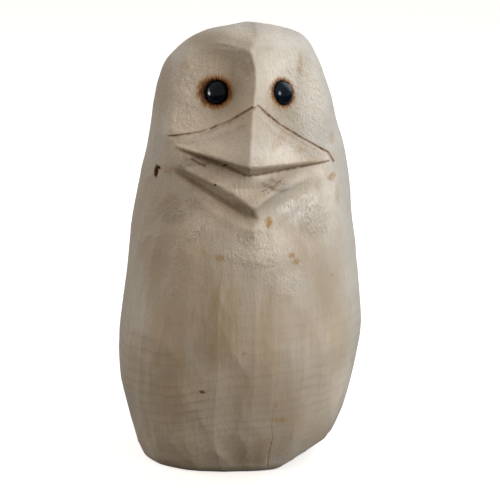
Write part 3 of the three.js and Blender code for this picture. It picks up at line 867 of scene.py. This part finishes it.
def beading():
    """A round dome on a straight shank, seated on its place and turned to its gaze."""
    g = Growing(
        "bead on its shank", Radius="Float", Dome_height="Float", Shank="Float",
        Place="Vector", Gaze="Vector")
    ball = g.node("GeometryNodeMeshUVSphere", {"Segments": 72, "Rings": 48, "Radius": 1.0}, "Mesh")
    position = g.node("GeometryNodeInputPosition", {})
    x, y, z = (g.node("ShaderNodeSeparateXYZ", {0: position}, i) for i in range(3))
    width = g.math("SQRT", g.math("MAXIMUM", g.math("SUBTRACT", 1.0, g.math("POWER", z, 2.0)), 1e-6))
    sunk = g.math("LESS_THAN", z, 0.0)
    proud = g.math("SUBTRACT", 1.0, sunk)
    straight = g.math("DIVIDE", g.math("MINIMUM", g.math("MULTIPLY", width, 2.2), 1.0), width)
    across = g.math("MULTIPLY", g.math("ADD", g.math("MULTIPLY", straight, sunk), proud), g.given["Radius"])
    down = g.math("MULTIPLY", g.given["Shank"], sunk)
    up = g.math("MULTIPLY", g.given["Dome height"], proud)
    tall = g.math("ADD", down, up)
    shape = g.node("ShaderNodeCombineXYZ", {
        0: g.math("MULTIPLY", x, across), 1: g.math("MULTIPLY", y, across), 2: g.math("MULTIPLY", z, tall)})
    turned = g.node("FunctionNodeAlignRotationToVector", {"Vector": g.given["Gaze"]}, axis="Z")
    g.end(g.node("GeometryNodeTransform", {
        "Geometry": g.node("GeometryNodeSetPosition", {"Geometry": ball, "Position": shape}),
        "Translation": g.given["Place"], "Rotation": turned}))
    return g


def paint_bead():
    s = Shading("bead_black")
    place = s.times(s.node("ShaderNodeTexCoord", {}, "Object"), 1 / MM)
    smear = s.noise(place, (0.5, 0.5, 0.5), 3.0)
    colour = s.mix(s.ramp(smear, 0.4, 0.7), BEAD_BLACK, (0.003, 0.007, 0.011, 1))
    scratches = s.noise(place, (4, 4, 0.6), 2.0)
    rough = s.ramp(scratches, 0.5, 0.8, 0.14, 0.24)
    bump = s.bump(smear, 0.04 * MM, 0.4)
    s.put(s.surface, {"Base Color": colour, "Roughness": rough, "Normal": bump, "Specular IOR Level": 0.16})
    return s.material


bead_black = paint_bead()
bead_maker = beading()
beads = {}
for side, eye in EYES.items():
    bead = bead_maker.grow(
        "bead_" + side, bpy.data.meshes.new("bead"), Radius=BEAD_RADIUS * MM, Dome_height=DOME_HEIGHT * MM,
        Shank=SHANK * MM, Place=[v * MM for v in eye["at"]], Gaze=list(gaze(eye)), Finish=bead_black)
    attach(bead, "root")
    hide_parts("eye_" + side)
    beads[side] = bead


# The floor, the light and the camera
# A plain white sweep. A window-sized light behind the right shoulder, a second at the right, weaker ones in
# front and at the left, and a small one for each bead's glint. The camera looks a little down on the bird.
LENS = 140.4
SENSOR = 36.0
CAMERA = {"azimuth": -6.0, "elevation": 14.0, "distance": 650.0, "target": (3.3, 0.0, 69.0)}
AIM = (0.0, 0.0, 80.0)
LAMPS = {  # azimuth, elevation, distance, size, watts, colour
    "window": (118, 35, 800, 760, 2.8, (0.90, 1.02, 1.16)),
    "side": (53, 22, 800, 560, 3.0, (1.0, 1.02, 1.06)),
    "front": (24, 34, 800, 300, 1.0, (1.0, 0.80, 0.58)),
    "left": (-115, 12, 800, 400, 1.85, (1.0, 0.94, 0.88)),
    "right_glint": (12, 22, 600, 240, 3.2, (1.0, 1.0, 1.1)),
    "left_glint": (-94, 9, 600, 180, 2.2, (1.0, 1.0, 1.0)),
}
# The lamps that light one piece only: the rest light everything
LIGHTS_ONLY = {"side": carved_body, "left_glint": beads["left"], "right_glint": beads["right"]}
FLOOR_GLOW = 0.7
FLOOR_BOUNCE = (0.10, 0.09, 0.07, 1)


def looking(azimuth, elevation):
    """The direction from the bird towards a place so many degrees round to the right and up."""
    a, e = math.radians(azimuth), math.radians(elevation)
    return np.array([math.sin(a) * math.cos(e), -math.cos(a) * math.cos(e), math.sin(e)])


def aim(obj, azimuth, elevation, distance, target):
    """Puts obj so far from target in that direction, turned to look at it."""
    bpy.context.scene.collection.objects.link(obj)
    back = Vector(looking(azimuth, elevation))
    obj.location = (Vector(target) + back * distance) * MM
    obj.rotation_euler = back.to_track_quat("Z", "Y").to_euler()


camera_data = bpy.data.cameras.new("camera")
camera_data.lens, camera_data.sensor_width = LENS, SENSOR
camera = bpy.data.objects.new("camera", camera_data)
aim(camera, **CAMERA)
bpy.context.scene.camera = camera

for name, (azimuth, elevation, distance, size, watts, colour) in LAMPS.items():
    light = bpy.data.lights.new(name, "AREA")
    light.shape, light.size, light.energy, light.color = "DISK", size * MM, watts, colour
    lamp = bpy.data.objects.new(name, light)
    lamp.visible_glossy = name != "front"
    if name in LIGHTS_ONLY:
        lit_things = bpy.data.collections.new("lit by " + name)
        lit_things.objects.link(LIGHTS_ONLY[name])
        lamp.light_linking.receiver_collection = lit_things
    aim(lamp, azimuth, elevation, distance, AIM)


def only_seen(tree, seen, else_shader, ray="Is Camera Ray"):
    """One shader for what that kind of ray meets, another for all the rest."""
    nodes, links = tree.nodes, tree.links
    path, mixed = nodes.new("ShaderNodeLightPath"), nodes.new("ShaderNodeMixShader")
    links.new(path.outputs[ray], mixed.inputs[0])
    links.new(else_shader, mixed.inputs[1])
    links.new(seen, mixed.inputs[2])
    return mixed.outputs[0]


floor_mesh = bpy.data.meshes.new("floor")
floor_mesh.from_pydata([(-9, -9, 0), (9, -9, 0), (9, 9, 0), (-9, 9, 0)], [], [(0, 1, 2, 3)])
floor = bpy.data.objects.new("floor", floor_mesh)
bpy.context.scene.collection.objects.link(floor)
sweep = Shading("white_sweep")
sweep.put(sweep.surface, {"Base Color": (0.9, 0.9, 0.9, 1), "Specular IOR Level": 0.0,
                          "Emission Color": (1, 1, 1, 1), "Emission Strength": FLOOR_GLOW})
bounce = sweep.node("ShaderNodeBsdfDiffuse", {"Color": FLOOR_BOUNCE})
sweep.tree.links.new(only_seen(sweep.tree, sweep.surface.outputs[0], bounce),
                     sweep.tree.nodes["Material Output"].inputs["Surface"])
floor_mesh.materials.append(sweep.material)

world = bpy.data.worlds.new("studio")
bpy.context.scene.world = world
world.use_nodes = True
sky = Tree(world.node_tree)
warm_fill = sky.node("ShaderNodeBackground", {"Color": (1.0, 0.82, 0.66, 1), "Strength": 0.38})
pale_walls = sky.node("ShaderNodeBackground", {"Color": (0.92, 0.97, 1.0, 1), "Strength": 0.65})
white = sky.node("ShaderNodeBackground", {"Color": (1, 1, 1, 1), "Strength": 1.0})
lit = only_seen(world.node_tree, pale_walls, warm_fill, "Is Glossy Ray")
world.node_tree.links.new(only_seen(world.node_tree, white, lit),
                          world.node_tree.nodes["World Output"].inputs["Surface"])
bpy.context.scene.view_settings.view_transform = "Standard"
